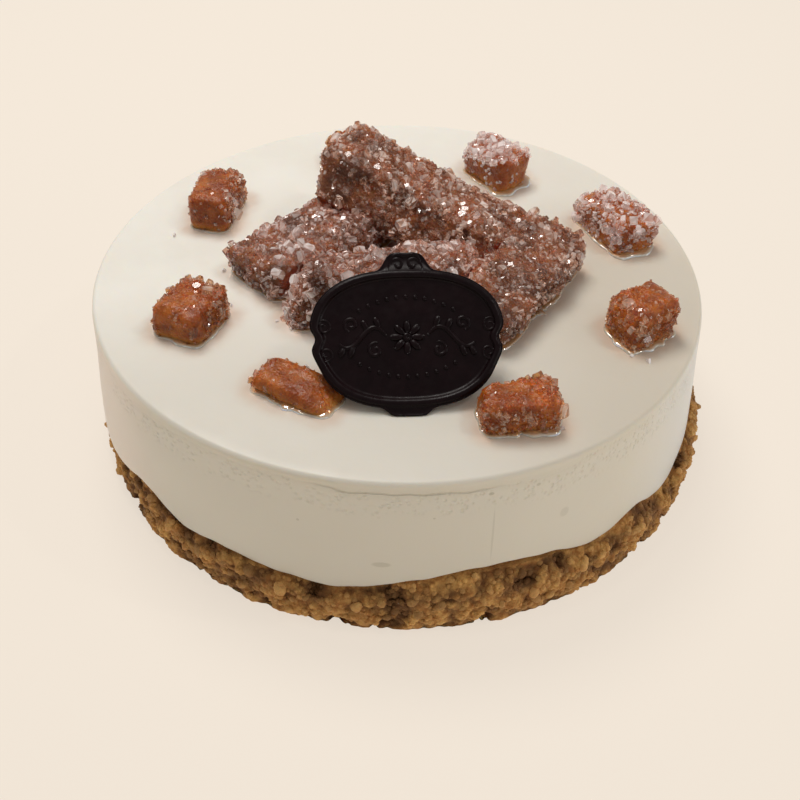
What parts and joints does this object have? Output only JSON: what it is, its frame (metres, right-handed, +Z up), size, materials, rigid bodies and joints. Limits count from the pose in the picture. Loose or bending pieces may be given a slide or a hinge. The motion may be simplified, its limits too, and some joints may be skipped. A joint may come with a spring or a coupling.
{
  "type": "whole round cheesecake",
  "caption": "Whole round cheesecake: white cream layer on a pressed crumb base, sugared amber fruit jellies on top and a small oval chocolate plaque.",
  "frame": {"origin": "middle of the crumb base's flat underside", "axes": "+Z up out of the cake's top; -Y towards the front, where the chocolate plaque leans; +X to the right as seen from the front"},
  "size_m": [0.168, 0.168, 0.0699],
  "materials": {
    "cream": "smooth set cream, slightly glossy and translucent",
    "crumb": "rough pressed biscuit crumbs",
    "jelly": "translucent amber fruit jelly coated with coarse sugar",
    "chocolate": "smooth moulded dark chocolate with a soft sheen"
  },
  "bodies": {
    "root": {"crumb_base": "crumb", "cream_layer": "cream", "jelly_bar_top": "jelly", "jelly_bar_left": "jelly", "jelly_bar_front": "jelly", "jelly_bar_right": "jelly", "jelly_piece_1": "jelly", "jelly_piece_2": "jelly", "jelly_piece_3": "jelly", "jelly_piece_4": "jelly", "jelly_piece_5": "jelly", "jelly_piece_6": "jelly", "jelly_piece_7": "jelly", "jelly_piece_8": "jelly", "chocolate_plaque": "chocolate"}
  },
  "joints": []
}
